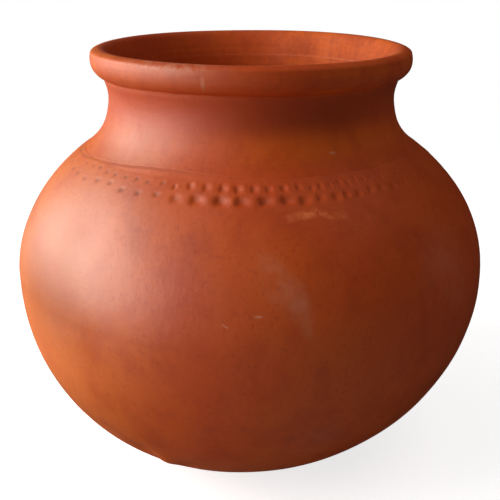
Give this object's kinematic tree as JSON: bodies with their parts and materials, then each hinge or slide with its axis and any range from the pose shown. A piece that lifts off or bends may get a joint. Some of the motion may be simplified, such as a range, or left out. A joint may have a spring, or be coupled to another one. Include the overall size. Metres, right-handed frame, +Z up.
{
  "type": "water jar",
  "caption": "Round-bellied fired clay water jar with a short wide neck, a rolled rim and rows of punched marks round the shoulder, for holding and cooling water.",
  "frame": {"origin": "centre of the flat resting face under the jar", "axes": "+Z up along the jar's axis of turning, out of the mouth; -Y is the side that faces the camera; +X is to the camera's right"},
  "size_m": [0.26, 0.26, 0.2325],
  "materials": {
    "burnished_terracotta": "unglazed, fired orange-red, burnished to a soft sheen with paler rubbed patches",
    "wiped_terracotta": "unglazed, fired orange-red, wiped with a wet cloth on the wheel, fine level lines",
    "fired_slip": "fired luting slip, same clay, slightly paler and finer"
  },
  "bodies": {
    "root": {"base_bowl": "burnished_terracotta", "belly_slip_joint": "fired_slip", "belly_wall": "burnished_terracotta", "shoulder_slip_joint": "fired_slip", "shoulder_ring": "burnished_terracotta", "neck_slip_joint": "fired_slip", "neck_collar": "wiped_terracotta", "rim_slip_joint": "fired_slip", "rim_roll": "wiped_terracotta"}
  },
  "joints": []
}
